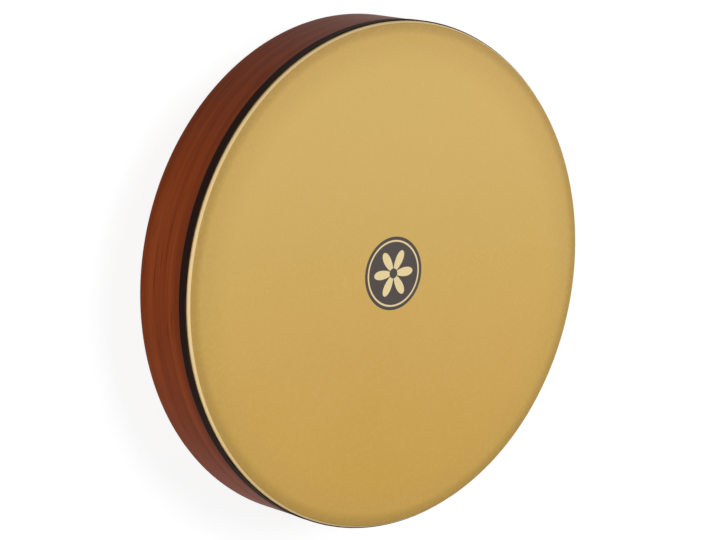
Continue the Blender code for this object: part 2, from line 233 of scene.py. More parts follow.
# %% Boxes and rods, the cutting tools
def add_box(shape, low, high, turned=0.0):
    """A box between two corners, turned round the drum's axis."""
    low, high = Vector(low), Vector(high)
    verts = bmesh.ops.create_cube(shape, size=1.0)["verts"]
    bmesh.ops.scale(shape, vec=high - low, verts=verts)
    bmesh.ops.translate(shape, vec=(low + high) / 2, verts=verts)
    bmesh.ops.rotate(shape, matrix=Matrix.Rotation(turned, 3, "Z"), verts=verts)


def add_rod(shape, radius, start, end, sides=32):
    """A closed rod from one point to another."""
    start, end = Vector(start), Vector(end)
    aim = (end - start).to_track_quat("Z", "Y").to_matrix().to_4x4()
    rod = bmesh.ops.create_cone(
        shape, cap_ends=True, segments=sides, radius1=radius, radius2=radius, depth=(end - start).length
    )
    bmesh.ops.transform(shape, matrix=Matrix.Translation((start + end) / 2) @ aim, verts=rod["verts"])


def direction(angle):
    """A step of one metre out from the axis."""
    return Vector((math.cos(angle), math.sin(angle), 0))


# %% [markdown]
# ## The shell
# The real shell is three plies of wood bent round a form and glued. Its front is turned down a
# little to seat the head's collar and the band. It is a simple section, so it is drawn as corners
# with a rounding each and spun. The pilot holes for the wood screws are then drilled.

# %% Spin the shell and drill it
BACK_ROUND = 0.0022
TURN_ROUND = 0.0025
SHOULDER_ROUND = 0.0002
LIP_ROUND = 0.001
PILOT_RADIUS = 0.0021
PILOT_DEPTH = 0.0055
WOOD_SCREW_ANGLES = {f"{n}{side}": angle_of(f"wood_screw_{n}{side}") for n in POINTS for side in "ab"}


def shell_shape():
    hoop = spin(
        rounded(
            [
                (REBATE_OUTER, SHELL_FRONT, TURN_ROUND),
                (REBATE_OUTER, REBATE_LOW, 0),
                (SHELL_OUTER, REBATE_LOW, SHOULDER_ROUND),
                (SHELL_OUTER, 0, BACK_ROUND),
                (SHELL_INNER, 0, BACK_ROUND),
                (SHELL_INNER, SHELL_FRONT, LIP_ROUND),
            ]
        )
    )
    drills = bmesh.new()
    for angle in WOOD_SCREW_ANGLES.values():
        height = Vector((0, 0, WOOD_SCREW_HEIGHT))
        start = direction(angle) * (SHELL_INNER - PILOT_DEPTH) + height
        end = direction(angle) * (SHELL_INNER + PILOT_DEPTH) + height
        add_rod(drills, PILOT_RADIUS, start, end, 16)
    return carve(hoop, drills)


shell = show("shell_hoop", make_mesh("shell_hoop", shell_shape()), "shell", "drum_shell", "shell_wood")
print(f"shell: {len(shell.data.polygons)} faces")

# %% [markdown]
# ## The head
# The head is a film with a collar moulded into it. It lies flat inside the tuning ring's crown,
# falls a little from the crown to the shell's edge, turns down and ends under the band. Only its
# outer skin is spun. A Solidify modifier gives the film its thickness inwards from that skin, at
# any pose, so its two sides stay the same distance apart when the film moves.

# %% Spin the head
CROWN_ROUND = 0.003
EDGE_DROP = 0.0008
CROWN_RADIUS = RING_OUTER - CROWN_ROUND
TURN_RADIUS = REBATE_OUTER - TURN_ROUND
SLOPE = EDGE_DROP / (TURN_RADIUS - CROWN_RADIUS)

head_outline = rounded(
    [
        (0, FACE, 0),
        (CROWN_RADIUS, FACE, CROWN_ROUND + FILM),
        (HEAD_OUTER, FACE - (HEAD_OUTER - CROWN_RADIUS) * SLOPE, TURN_ROUND + SEAT_GAP + FILM),
        (HEAD_OUTER, COLLAR_LOW, 0),
    ],
    steps=8,
)
head = show("head_film", make_mesh("head_film", spin(head_outline, open_ends=True)), "head", None, "head")
thicken = head.modifiers.new("film", "SOLIDIFY")
thicken.thickness = FILM
thicken.offset = -1
thicken.use_even_offset = True
print(f"head: {len(head.data.polygons)} faces, collar ends {COLLAR_LOW * 1000:.1f} mm up")

# %% [markdown]
# When the ring is let back, a real head relaxes until it lies flat across the shell's edge, 0.8 mm
# lower, and then stops while the ring goes on. So the flat middle takes about a third of the ring's
# travel. That share is worked out here, with the point at which a smooth weight reaches it.

# %% Work out the film's share of the ring's travel
RING_TRAVEL = 0.0025
FIRST_GUESS = 0.37
share = EDGE_DROP / RING_TRAVEL
# One Newton step finds the t at which the smooth weight 3t^2 - 2t^3 reaches this share.
t = FIRST_GUESS
t -= (3 * t**2 - 2 * t**3 - share) / (6 * t - 6 * t**2)
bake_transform(head)
print(f"the flat of the head takes {share:.2f} of the ring's travel")

# %% [markdown]
# ## The cover band
# The band is a strip wrapped round the collar's cut edge. Its ends butt at one place, which this
# drum turns away from its portrait. The section is spun through almost a full turn, and the
# opening that is left is the joint.

# %% Wrap the band
BAND_THICKNESS = 0.0006
BAND_EDGE = 0.0002
JOINT_GAP = 0.0004
JOINT_ANGLE = math.radians(-62)


def band_shape():
    inner = BAND_OUTER - BAND_THICKNESS
    section = rounded(
        [
            (BAND_OUTER, BAND_HIGH, BAND_EDGE),
            (BAND_OUTER, BAND_LOW, BAND_EDGE),
            (inner, BAND_LOW, 0),
            (inner, BAND_HIGH, 0),
        ],
        steps=3,
    )
    gap = JOINT_GAP / BAND_OUTER
    strip = spin(section, angle=math.tau - gap)
    bmesh.ops.rotate(strip, matrix=Matrix.Rotation(JOINT_ANGLE + gap / 2, 3, "Z"), verts=strip.verts)
    return strip


band = show("band_strip", make_mesh("band_strip", band_shape()), "cover_band", "drum_shell", "cover_band")
print(f"band: {len(band.data.polygons)} faces")

# %% [markdown]
# ## The tuning ring
# Behind the head sits a wooden ring with a round crown. Its inner slope keeps wood off the film.
# Six notches, open to both sides, hold the thrust plates.

# %% Spin the ring and notch it
RING_BEVEL_DROP = 0.004
RING_CORNER = 0.0008
NOTCH_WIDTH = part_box("thrust_plate_2")[1].x * 2 + 2 * SEAT_GAP
NOTCH_HIGH = PLATE_HIGH + SEAT_GAP


def ring_shape():
    hoop = spin(
        rounded(
            [
                (RING_OUTER, RING_HIGH, CROWN_ROUND),
                (RING_OUTER, RING_LOW, RING_CORNER),
                (RING_INNER, RING_LOW, RING_CORNER),
                (RING_INNER, RING_HIGH - RING_BEVEL_DROP, RING_CORNER),
                (CROWN_RADIUS, RING_HIGH, 0),
            ]
        )
    )
    chisels = bmesh.new()
    for angle in TUNING_ANGLES.values():
        low = (RING_INNER - RING_WALL / 2, -NOTCH_WIDTH / 2, RING_LOW - RING_WALL)
        high = (RING_OUTER + RING_WALL / 2, NOTCH_WIDTH / 2, NOTCH_HIGH)
        add_box(chisels, low, high, angle)
    return carve(hoop, chisels)


ring = show("ring_hoop", make_mesh("ring_hoop", ring_shape()), "tuning_ring", "tuning_ring", "ring_wood")
print(f"ring: {len(ring.data.polygons)} faces")

# %% [markdown]
# ## Turned hardware
# A cap screw, a nut and a wood screw's head are stacks of rings. One ring of edges is placed,
# extruded, and placed again at the next height. A ring's radius may be a rule of the angle, which
# gives a hexagon, a knurl or a socket with the same number of corners all the way.


# %% Stack rings into a turned part
def stack(levels, sides, tube=False):
    """Build a part round Z from (height, radius) levels. A tube joins its last ring to its first."""
    shape = bmesh.new()
    verts = bmesh.ops.create_circle(shape, segments=sides, radius=1.0)["verts"]
    edges = list(shape.edges)
    first = edges

    def place(ring, height, radius):
        for vert in ring:
            angle = math.atan2(vert.co.y, vert.co.x)
            reach = radius(angle) if callable(radius) else radius
            vert.co = direction(angle) * reach + Vector((0, 0, height))

    place(verts, *levels[0])
    for level in levels[1:]:
        made = bmesh.ops.extrude_edge_only(shape, edges=edges)["geom"]
        verts = [item for item in made if isinstance(item, bmesh.types.BMVert)]
        fresh = set(verts)
        edges = [item for item in made if isinstance(item, bmesh.types.BMEdge)]
        edges = [edge for edge in edges if fresh.issuperset(edge.verts)]
        place(verts, *level)
    if tube:
        bmesh.ops.bridge_loops(shape, edges=first + edges)
    else:
        bmesh.ops.holes_fill(shape, edges=first + edges, sides=0)
    bmesh.ops.recalc_face_normals(shape, faces=shape.faces)
    return shape


def hexagon(across_flats):
    """A hexagon's radius at any angle, with corners at 0, 60, 120 degrees and so on."""
    return lambda angle: across_flats / 2 / math.cos(angle % math.radians(60) - math.radians(30))


# %% [markdown]
# A thread is one tooth's outline, a pitch tall, spun with a rise of one pitch a turn. Each turn
# starts on the edge where the last one ended, so merging them gives one continuous helix. Planes
# then cut both ends square, and a limit on the radius makes the chamfer or the point.


# %% Spin a thread
def thread(major, minor, pitch, low, high, limit, sides=24):
    """A closed right-hand thread from low to high. The rule limit(height) caps its radius."""
    shape = bmesh.new()
    tooth = [(minor, 0), (minor, 0.12), (major, 0.44), (major, 0.56), (minor, 0.88), (minor, 1)]
    turns = math.ceil((high - low) / pitch) + 2
    verts = [shape.verts.new((r, 0, low + (share - 1) * pitch)) for r, share in tooth]
    edges = [shape.edges.new(pair) for pair in zip(verts, verts[1:])]
    bmesh.ops.spin(
        shape, geom=verts + edges, axis=(0, 0, 1), cent=(0, 0, 0), dvec=(0, 0, pitch / sides),
        angle=math.tau * turns, steps=sides * turns,
    )
    bmesh.ops.remove_doubles(shape, verts=shape.verts, dist=pitch / 1000)
    for height, up in ((low, False), (high, True)):
        bmesh.ops.bisect_plane(
            shape, geom=[*shape.verts, *shape.edges, *shape.faces], plane_co=(0, 0, height),
            plane_no=(0, 0, 1), clear_outer=up, clear_inner=not up, dist=pitch / 1000,
        )
    for vert in shape.verts:
        cap = limit(vert.co.z)
        if vert.co.xy.length > cap:
            vert.co.xy = vert.co.xy.normalized() * cap
    bmesh.ops.holes_fill(shape, edges=[e for e in shape.edges if e.is_boundary], sides=0)
    bmesh.ops.recalc_face_normals(shape, faces=shape.faces)
    return shape


def join(*shapes):
    """Put several closed shapes into the first one's bmesh."""
    for other in shapes[1:]:
        mesh = bpy.data.meshes.new("joining")
        other.to_mesh(mesh)
        other.free()
        shapes[0].from_mesh(mesh)
        bpy.data.meshes.remove(mesh)
    return shapes[0]


def placed(mesh, name, matrix):
    """A copy of a mesh, moved to its place in the drum."""
    copy = mesh.copy()
    copy.name = name
    copy.transform(matrix)
    return copy


# %% [markdown]
# ## The tuning screws
# They are M6 socket cap screws. The cap is knurled for the fingers, the socket takes a 5 mm key
# from the open back, and the end is turned down to a plain point that sits in the thrust plate.

# %% Make and place the cap screws
SCREW_RADIUS = 0.003
SCREW_ROOT = 0.0024
SCREW_PITCH = 0.001
THREAD_PLAY = 0.00002
POINT_RADIUS = 0.002
POINT_LENGTH = 0.0015
CAP_RADIUS = 0.005
CAP_HEIGHT = 0.006
CAP_LOW = SCREW_LOW - SCREW_TIP
CAP_HIGH = CAP_LOW + CAP_HEIGHT
SOCKET_FLATS = 0.005
SOCKET_DEPTH = 0.003
CAP_SIDES = 96
KNURL_DEPTH = 0.0002


def knurl(angle):
    """Every second corner of the cap's ring is drawn in a little."""
    return CAP_RADIUS - KNURL_DEPTH * (round(angle / math.tau * CAP_SIDES) % 2)


def cap_shape():
    """The cap, from the neck over the knurl and the face to the bottom of the socket."""
    smooth = CAP_RADIUS
    return stack(
        [
            (CAP_HIGH + MM, SCREW_ROOT),
            (CAP_HIGH + 0.3 * MM, SCREW_RADIUS - 0.2 * MM),
            (CAP_HIGH, SCREW_RADIUS),
            (CAP_HIGH, smooth - 0.3 * MM),
            (CAP_HIGH - 0.25 * MM, smooth),
            (CAP_HIGH - 0.7 * MM, smooth),
            (CAP_HIGH - 0.85 * MM, knurl),
            (CAP_LOW + 1.5 * MM, knurl),
            (CAP_LOW + 1.35 * MM, smooth),
            (CAP_LOW + 0.6 * MM, smooth),
            (CAP_LOW + 0.2 * MM, smooth - 0.16 * MM),
            (CAP_LOW, smooth - 0.5 * MM),
            (CAP_LOW, 3.2 * MM),
            (CAP_LOW + 0.3 * MM, hexagon(SOCKET_FLATS)),
            (CAP_LOW + SOCKET_DEPTH, hexagon(SOCKET_FLATS)),
            (CAP_LOW + SOCKET_DEPTH, 2.0 * MM),
            (CAP_LOW + SOCKET_DEPTH + 1.0 * MM, 0.05 * MM),
        ],
        CAP_SIDES,
    )


def tip_shape():
    """The plain point above the thread."""
    return stack(
        [
            (-POINT_LENGTH - MM, POINT_RADIUS),
            (-0.3 * MM, POINT_RADIUS),
            (-0.05 * MM, POINT_RADIUS - 0.25 * MM),
            (0, POINT_RADIUS - 0.5 * MM),
        ],
        48,
    )


def chamfer(height):
    """The thread's radius grows from the point's at 45 degrees."""
    return POINT_RADIUS + max(0.0, -POINT_LENGTH - height)


crest = SCREW_RADIUS - THREAD_PLAY
screw_thread = thread(crest, SCREW_ROOT, SCREW_PITCH, CAP_HIGH, -POINT_LENGTH, chamfer)
cap_screw = make_mesh("cap_screw", join(cap_shape(), tip_shape(), screw_thread))
TURN_STEP = math.radians(17)
for n, angle in TUNING_ANGLES.items():
    centre = direction(angle) * TUNING_RADIUS + Vector((0, 0, SCREW_TIP))
    matrix = Matrix.Translation(centre) @ Matrix.Rotation(n * TURN_STEP, 4, "Z")
    name = f"cap_screw_{n}"
    show(name, placed(cap_screw, name, matrix), f"tuning_screw_{n}", f"tuning_screw_{n}", "screw_steel")
print(f"cap screw: {len(cap_screw.polygons)} faces")

# %% [markdown]
# ## Brackets and nuts
# A bracket is bent from 2 mm plate, so its section is an L with two bend radii, spun through the
# short arc of its width. Its leg then has the shell's own curve. Free corners are cut round, the
# holes are drilled, and every edge is broken as tumbling in a drum of stones breaks it.

# %% Make and place the brackets
PLATE = 0.002
BEND = 0.001
BRACKET_WIDTH = 0.030
BRACKET_CORNER = 0.004
EDGE_BREAK = 0.0002
FOOT_OVERHANG = 0.0075
LEG_OUTER = SHELL_INNER - 0.0001
LEG_INNER = LEG_OUTER - PLATE
FOOT_END = TUNING_RADIUS - FOOT_OVERHANG
FOOT_LOW = FOOT_HIGH - PLATE
SCREW_HOLE = 0.0033
LEG_HOLE = 0.0021


def bevel(shape, edges, width, segments, clamp=False):
    """Round some edges with the settings that the editor's Bevel starts from."""
    bmesh.ops.bevel(
        shape, geom=edges, offset=width, segments=segments, profile=0.5,
        affect="EDGES", material=-1, clamp_overlap=clamp,
    )


def break_edges(shape, width):
    """Bevel every edge that is sharp."""
    shape.normal_update()
    sharp = [e for e in shape.edges if e.is_manifold and e.calc_face_angle(0) > SHARP]
    bevel(shape, sharp, width, segments=2, clamp=True)


def bracket_shape():
    """An angle bracket at angle 0: a curved leg, a bend and a foot."""
    section = rounded(
        [
            (FOOT_END, FOOT_HIGH, 0),
            (LEG_OUTER, FOOT_HIGH, BEND + PLATE),
            (LEG_OUTER, LEG_LOW, 0),
            (LEG_INNER, LEG_LOW, 0),
            (LEG_INNER, FOOT_LOW, BEND),
            (FOOT_END, FOOT_LOW, 0),
        ]
    )
    sweep = BRACKET_WIDTH / LEG_OUTER
    shape = spin(section, angle=sweep, steps=10)
    bmesh.ops.rotate(shape, matrix=Matrix.Rotation(-sweep / 2, 3, "Z"), verts=shape.verts)
    near = PLATE / 50

    def at_free_corner(edge):
        ends = [vert.co for vert in edge.verts]
        at_side = all(abs(abs(math.atan2(p.y, p.x)) - sweep / 2) < 1e-4 for p in ends)
        at_foot = all(abs(p.xy.length - FOOT_END) < near for p in ends)
        at_leg = all(abs(p.z - LEG_LOW) < near for p in ends)
        return at_side and (at_foot or at_leg)

    corners = [edge for edge in shape.edges if at_free_corner(edge)]
    bevel(shape, corners, BRACKET_CORNER, segments=6)
    drills = bmesh.new()
    start = (TUNING_RADIUS, 0, FOOT_LOW - PLATE)
    end = (TUNING_RADIUS, 0, FOOT_HIGH + PLATE)
    add_rod(drills, SCREW_HOLE, start, end)
    height = Vector((0, 0, WOOD_SCREW_HEIGHT))
    for side in "ab":
        toward = direction(WOOD_SCREW_ANGLES[f"1{side}"] - TUNING_ANGLES[1])
        start = toward * (LEG_INNER - PLATE) + height
        end = toward * (LEG_OUTER + PLATE) + height
        add_rod(drills, LEG_HOLE, start, end)
    shape = carve(shape, drills)
    break_edges(shape, EDGE_BREAK)
    return shape


bracket = make_mesh("angle_bracket", bracket_shape())
for n, angle in TUNING_ANGLES.items():
    name = f"angle_bracket_{n}"
    mesh = placed(bracket, name, Matrix.Rotation(angle, 4, "Z"))
    show(name, mesh, f"bracket_{n}", "drum_shell", "bracket_steel")
print(f"bracket: {len(bracket.polygons)} faces")

# %% [markdown]
# The nut is a hexagon whose corners are turned off at both ends, so each ring is the smaller of a
# hexagon and a circle. Three short beads tack it to the foot.

# %% Make and place the nuts
NUT_FLATS = 0.010
NUT_SIDES = 48
BEAD = Vector((0.0006, 0.0018, 0.0005))


def turned_hexagon(circle):
    return lambda angle: min(hexagon(NUT_FLATS)(angle), circle)


def nut_shape():
    """A nut round Z with three weld beads round its upper edge."""
    bore = SCREW_RADIUS + 0.00006
    corner = NUT_FLATS / math.sqrt(3)
    shape = stack(
        [
            (FOOT_LOW, turned_hexagon(corner - 0.6 * MM)),
            (FOOT_LOW - 0.5 * MM, turned_hexagon(corner)),
            (NUT_LOW + 0.6 * MM, turned_hexagon(corner)),
            (NUT_LOW + 0.25 * MM, turned_hexagon(corner - 0.35 * MM)),
            (NUT_LOW, turned_hexagon(corner - 0.95 * MM)),
            (NUT_LOW, bore + 0.5 * MM),
            (NUT_LOW + 0.5 * MM, bore),
            (FOOT_LOW, bore),
        ],
        NUT_SIDES,
        tube=True,
    )
    for third in range(3):
        turn = Matrix.Rotation(math.radians(90 + 120 * third), 4, "Z")
        seat = Matrix.Translation((NUT_FLATS / 2, 0, FOOT_LOW))
        stretch = Matrix.Diagonal((*BEAD, 1))
        bmesh.ops.create_icosphere(shape, subdivisions=3, radius=1.0, matrix=turn @ seat @ stretch)
    return shape


nut = make_mesh("hex_nut", nut_shape())
NUT_TURN = math.radians(30)
for n, angle in TUNING_ANGLES.items():
    name = f"hex_nut_{n}"
    centre = Matrix.Translation(direction(angle) * TUNING_RADIUS)
    matrix = centre @ Matrix.Rotation(angle + NUT_TURN, 4, "Z")
    show(name, placed(nut, name, matrix), f"weld_nut_{n}", "drum_shell", "zinc_steel")
print(f"nut: {len(nut.polygons)} faces")

# %% [markdown]
# ## Thrust plates
# A plate spreads the screw's push over the wood. It is a blank with rounded corners, drilled with
# a shallow dimple, and its edges are broken.

# %% Make and place the thrust plates
PLATE_CORNER = 0.0015
PLATE_INSET = 0.0006
DIMPLE_RADIUS = POINT_RADIUS + 0.0002
DIMPLE_HIGH = SCREW_TIP + SEAT_GAP


def plate_shape():
    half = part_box("thrust_plate_2")[1].x
    far = math.sqrt(RING_OUTER**2 - half**2) - PLATE_INSET
    shape = bmesh.new()
    add_box(shape, (RING_INNER + PLATE_INSET, -half, PLATE_LOW), (far, half, PLATE_HIGH))
    upright = [e for e in shape.edges if abs((e.verts[0].co - e.verts[1].co).z) > PLATE_CORNER / 2]
    bevel(shape, upright, PLATE_CORNER, segments=5)
    drill = bmesh.new()
    start = Vector((TUNING_RADIUS, 0, PLATE_LOW - PLATE))
    add_rod(drill, DIMPLE_RADIUS, start, (TUNING_RADIUS, 0, DIMPLE_HIGH))
    shape = carve(shape, drill)
    break_edges(shape, EDGE_BREAK / 2)
    return shape


thrust_plate = make_mesh("plate", plate_shape())
for n, angle in TUNING_ANGLES.items():
    name = f"plate_{n}"
    mesh = placed(thrust_plate, name, Matrix.Rotation(angle, 4, "Z"))
    show(name, mesh, f"thrust_plate_{n}", "tuning_ring", "zinc_steel")
print(f"thrust plate: {len(thrust_plate.polygons)} faces")

# %% [markdown]
# ## Wood screws
# Each bracket is held by two pan head screws. The head is a stack with a soft dome, a cross is cut
# into it, and the thread below has a steep tooth and runs out to a point.

# %% Make and place the wood screws
WOOD_RADIUS = 0.00175
WOOD_ROOT = 0.0012
WOOD_PITCH = 0.0014
WOOD_LENGTH = 0.008
WOOD_POINT = 0.003
PAN_RADIUS = 0.0035
PAN_HEIGHT = 0.0024
RECESS_SPAN = 0.004
RECESS_WIDTH = 0.0009
RECESS_DEPTH = 0.0012


def pan_shape():
    """The head: flat below, and a quarter of a fuller round above."""
    dome = [math.radians(a) for a in (0, 12, 25, 38, 52, 66, 80)]
    levels = [(0, WOOD_ROOT), (0, PAN_RADIUS - 0.0002), (0.0003, PAN_RADIUS)]
    rise = PAN_HEIGHT - 0.0006
    levels += [(0.0006 + rise * math.sin(a) ** 0.9, PAN_RADIUS * math.cos(a) ** 0.7) for a in dome]
    return stack(levels, 48)


def cross_recess(pan):
    """Cut one bar of the cross and then the other, because a tool that cuts itself fails."""
    for quarter in (0, math.pi / 2):
        bar = bmesh.new()
        low = (-RECESS_SPAN / 2, -RECESS_WIDTH / 2, PAN_HEIGHT - RECESS_DEPTH)
        high = (RECESS_SPAN / 2, RECESS_WIDTH / 2, PAN_HEIGHT * 2)
        add_box(bar, low, high, quarter)
        pan = carve(pan, bar)
    return pan


def point_limit(height):
    """The radius at which the point runs out."""
    return max(0.0001, (height + WOOD_LENGTH) * WOOD_RADIUS / WOOD_POINT)


pan = cross_recess(pan_shape())
wood_thread = thread(WOOD_RADIUS, WOOD_ROOT, WOOD_PITCH, -WOOD_LENGTH, 0.0001, point_limit, sides=20)
wood_screw = make_mesh("pan_screw", join(pan, wood_thread))
HEAD_TURNS = math.radians(37)
SEAT = LEG_INNER - 0.00005
for place_number, (label, angle) in enumerate(WOOD_SCREW_ANGLES.items()):
    name = f"pan_screw_{label}"
    seat = Matrix.Translation(direction(angle) * SEAT + Vector((0, 0, WOOD_SCREW_HEIGHT)))
    aim_inward = Matrix.Rotation(angle, 4, "Z") @ Matrix.Rotation(-math.pi / 2, 4, "Y")
    matrix = seat @ aim_inward @ Matrix.Rotation(place_number * HEAD_TURNS, 4, "Z")
    show(name, placed(wood_screw, name, matrix), f"wood_screw_{label}", "drum_shell", "zinc_steel")
print(f"wood screw: {len(wood_screw.polygons)} faces")

# %% [markdown]
# ## Shader arithmetic
# A finish is a sum of masks and noises. The class below wraps a socket, so that such a sum is
# written as Python and each operator adds its Math node. Every other node comes from one method.


# %% Wrap a socket in arithmetic
class Socket:
    """An output of a shader node that can be added, subtracted and multiplied."""

    def __init__(self, finish, output):
        self.finish = finish
        self.output = output

    def __add__(self, other):
        return self.finish.math("ADD", self, other)

    def __sub__(self, other):
        return self.finish.math("SUBTRACT", self, other)

    def __rsub__(self, other):
        return self.finish.math("SUBTRACT", other, self)

    def __mul__(self, other):
        return self.finish.math("MULTIPLY", self, other)

    __radd__ = __add__
    __rmul__ = __mul__


class Finish:
    """A material whose nodes are made by node(), with values that vary joined by set()."""

    def __init__(self, name, **constants):
        self.material = bpy.data.materials.new(name)
        self.material.use_nodes = True
        self.tree = self.material.node_tree
        self.shader = self.tree.nodes["Principled BSDF"]
        for socket, value in constants.items():
            self.shader.inputs[socket.replace("_", " ")].default_value = value
        self.place = self.node("ShaderNodeTexCoord", output="Object")

    def node(self, kind, settings=None, inputs=None, output=0):
        """Add any node: first its settings, then the values or links of its sockets."""
        node = self.tree.nodes.new(kind)
        for key, value in (settings or {}).items():
            if key == "stops":
                self.fill_ramp(node.color_ramp, value)
            else:
                setattr(node, key, value)
        for key, value in (inputs or {}).items():
            self.feed(node.inputs[key], value)
        return Socket(self, node.outputs[output])

    def fill_ramp(self, ramp, stops):
        while len(ramp.elements) < len(stops):
            ramp.elements.new(0.5)
        for element, (position, colour) in zip(ramp.elements, stops):
            element.position = position
            element.color = colour

    def feed(self, socket, value):
        if isinstance(value, Socket):
            self.tree.links.new(value.output, socket)
        else:
            socket.default_value = value

    def math(self, operation, *values):
        inputs = dict(enumerate(values))
        return self.node("ShaderNodeMath", {"operation": operation}, inputs)

    def mix(self, factor, first, second):
        """A colour between two colours. The numbers are the Mix node's colour sockets."""
        inputs = {0: factor, 6: first, 7: second}
        return self.node("ShaderNodeMix", {"data_type": "RGBA"}, inputs, output=2)

    def noise(self, scale, detail=3.0, roughness=0.5, stretch=(1, 1, 1), vector=None):
        """Noise in object space, from 0 to 1. A large stretch packs the pattern along that axis."""
        where = self.node("ShaderNodeMapping", inputs={"Vector": vector or self.place, "Scale": stretch})
        inputs = {"Vector": where, "Scale": scale, "Detail": detail, "Roughness": roughness}
        return self.node("ShaderNodeTexNoise", inputs=inputs)

    def step(self, value, low, high):
        """0 below low and 1 above high, with a smooth rise. Swapped limits give a fall."""
        inputs = {"Value": value, "From Min": low, "From Max": high}
        return self.node("ShaderNodeMapRange", {"interpolation_type": "SMOOTHSTEP"}, inputs)

    def line(self, value, middle, width):
        """1 on a thin line where value is near middle, and 0 elsewhere."""
        return self.step(self.math("ABSOLUTE", value - middle), width, width * 0.4)

    def set(self, **varying):
        """Join values or links to the shader's sockets of these names."""
        for socket, value in varying.items():
            self.feed(self.shader.inputs[socket.replace("_", " ")], value)

    def bump(self, height, distance, strength=1.0):
        inputs = {"Height": height, "Distance": distance, "Strength": strength}
        self.set(Normal=self.node("ShaderNodeBump", inputs=inputs))

    def axes(self):
        """The object's x, y and z, and the distance from the drum's axis."""
        split = self.node("ShaderNodeSeparateXYZ", inputs={0: self.place})
        x, y, z = (Socket(self, out) for out in split.output.node.outputs)
        radius = self.math("SQRT", x * x + y * y)
        return x, y, z, radius

    def facing_up(self):
        """1 on a surface that faces up the drum's axis, and 0 on one that faces aside or down."""
        normal = self.node("ShaderNodeTexCoord", output="Normal")
        return self.step(self.node("ShaderNodeSeparateXYZ", inputs={0: normal}, output=2), 0.0, 0.5)

    def vector(self, x, y, z):
        return self.node("ShaderNodeCombineXYZ", inputs={0: x, 1: y, 2: z})


def screen(red, green, blue):
    """A colour given as it shows on a screen, 0 to 255, turned into light."""
    def light(channel):
        share = channel / 255
        return share / 12.92 if share <= 0.04045 else ((share + 0.055) / 1.055) ** 2.4

    return (light(red), light(green), light(blue), 1.0)


# %% [markdown]
# ## Wood
# The plies' grain runs round the drum. In object space a streak round the wall has one height all
# the way, and a streak on a rim has one radius, so height plus radius, packed tight, gives grain
# that follows both. A ramp turns it into three tones, and broad noise gives the stain its uneven
# take-up. Short dark dashes are pores. Thin lines on the back rim are the glue between plies, and
# one slanted line across the wall is where the hoop's ends are glued. The rounded back edge of the
# shell, where it sits on the floor, is darkened as painted shade.


# %% Mix a wood finish
GRAIN_ALONG, GRAIN_ACROSS = 3.0, 130.0
PORES_ALONG, PORES_ACROSS = 22.0, 700.0
TONE_STOPS = (0.34, 0.5, 0.66)
PORE_SHADE = 0.45
GLUE_LINE = 0.00022
JOINT_LINE = 0.0003
JOINT_SLANT = 0.35


def wood(name, tones, rough, gloss, joint, glue_radii=(), pore_depth=0.5, back_rim_painted_shade=0.0):
    """Wood in three tones, from dark to light, glued into a hoop at the angle joint."""
    finish = Finish(name, Specular_IOR_Level=gloss)
    x, y, z, radius = finish.axes()
    along = finish.vector(x * GRAIN_ALONG, y * GRAIN_ALONG, (z + radius) * GRAIN_ACROSS)
    grain = finish.noise(1.0, 6.0, 0.62, vector=along)
    broad = finish.noise(9.0, 2.0)
    packed = finish.vector(x * PORES_ALONG, y * PORES_ALONG, (z + radius) * PORES_ACROSS)
    pores = finish.step(finish.noise(1.0, 2.0, vector=packed), 0.62, 0.74)
    stops = list(zip(TONE_STOPS, tones))
    colour = finish.node("ShaderNodeValToRGB", {"stops": stops}, {"Fac": grain * 0.75 + broad * 0.25})
    pore_colour = tuple(PORE_SHADE * channel for channel in tones[0][:3]) + (1.0,)
    colour = finish.mix(pores * pore_depth, colour, pore_colour)
    for glue in glue_radii:
        colour = finish.mix(finish.line(radius, glue, GLUE_LINE) * 0.7, colour, screen(48, 22, 12))
    beside = x * math.sin(joint) - y * math.cos(joint) + z * JOINT_SLANT
    near_side = finish.step(x * math.cos(joint) + y * math.sin(joint), 0.0, SHELL_INNER / 2)
    joint_mark = finish.line(beside, 0.0, JOINT_LINE) * near_side
    colour = finish.mix(joint_mark * 0.8, colour, screen(44, 20, 11))
    # Painted shade: the rounded back edge, where the shell meets the floor, is darkened.
    if back_rim_painted_shade:
        low = finish.step(z, BACK_ROUND * 1.4, BACK_ROUND * 0.5)
        outer = finish.step(radius, SHELL_OUTER - BACK_ROUND * 1.4, SHELL_OUTER - BACK_ROUND * 0.7)
        colour = finish.mix(low * outer * back_rim_painted_shade, colour, screen(34, 14, 7))
    finish.set(Base_Color=colour, Roughness=rough + broad * 0.12 + pores * 0.15)
    finish.bump(grain * 0.4 - pores, 0.00006, 0.6)
    return finish.material


PLY = SHELL_WALL / 3
shell_wood = wood(
    "stained_shell_wood",
    (screen(98, 40, 15), screen(116, 50, 19), screen(132, 61, 26)),
    rough=0.42,
    gloss=0.04,
    joint=math.radians(-100),
    glue_radii=(SHELL_INNER + PLY, SHELL_INNER + 2 * PLY),
    back_rim_painted_shade=0.8,
)
ring_wood = wood(
    "stained_ring_wood",
    (screen(118, 66, 36), screen(142, 84, 50), screen(166, 106, 68)),
    rough=0.5,
    gloss=0.2,
    joint=math.radians(-105),
    pore_depth=0.35,
)
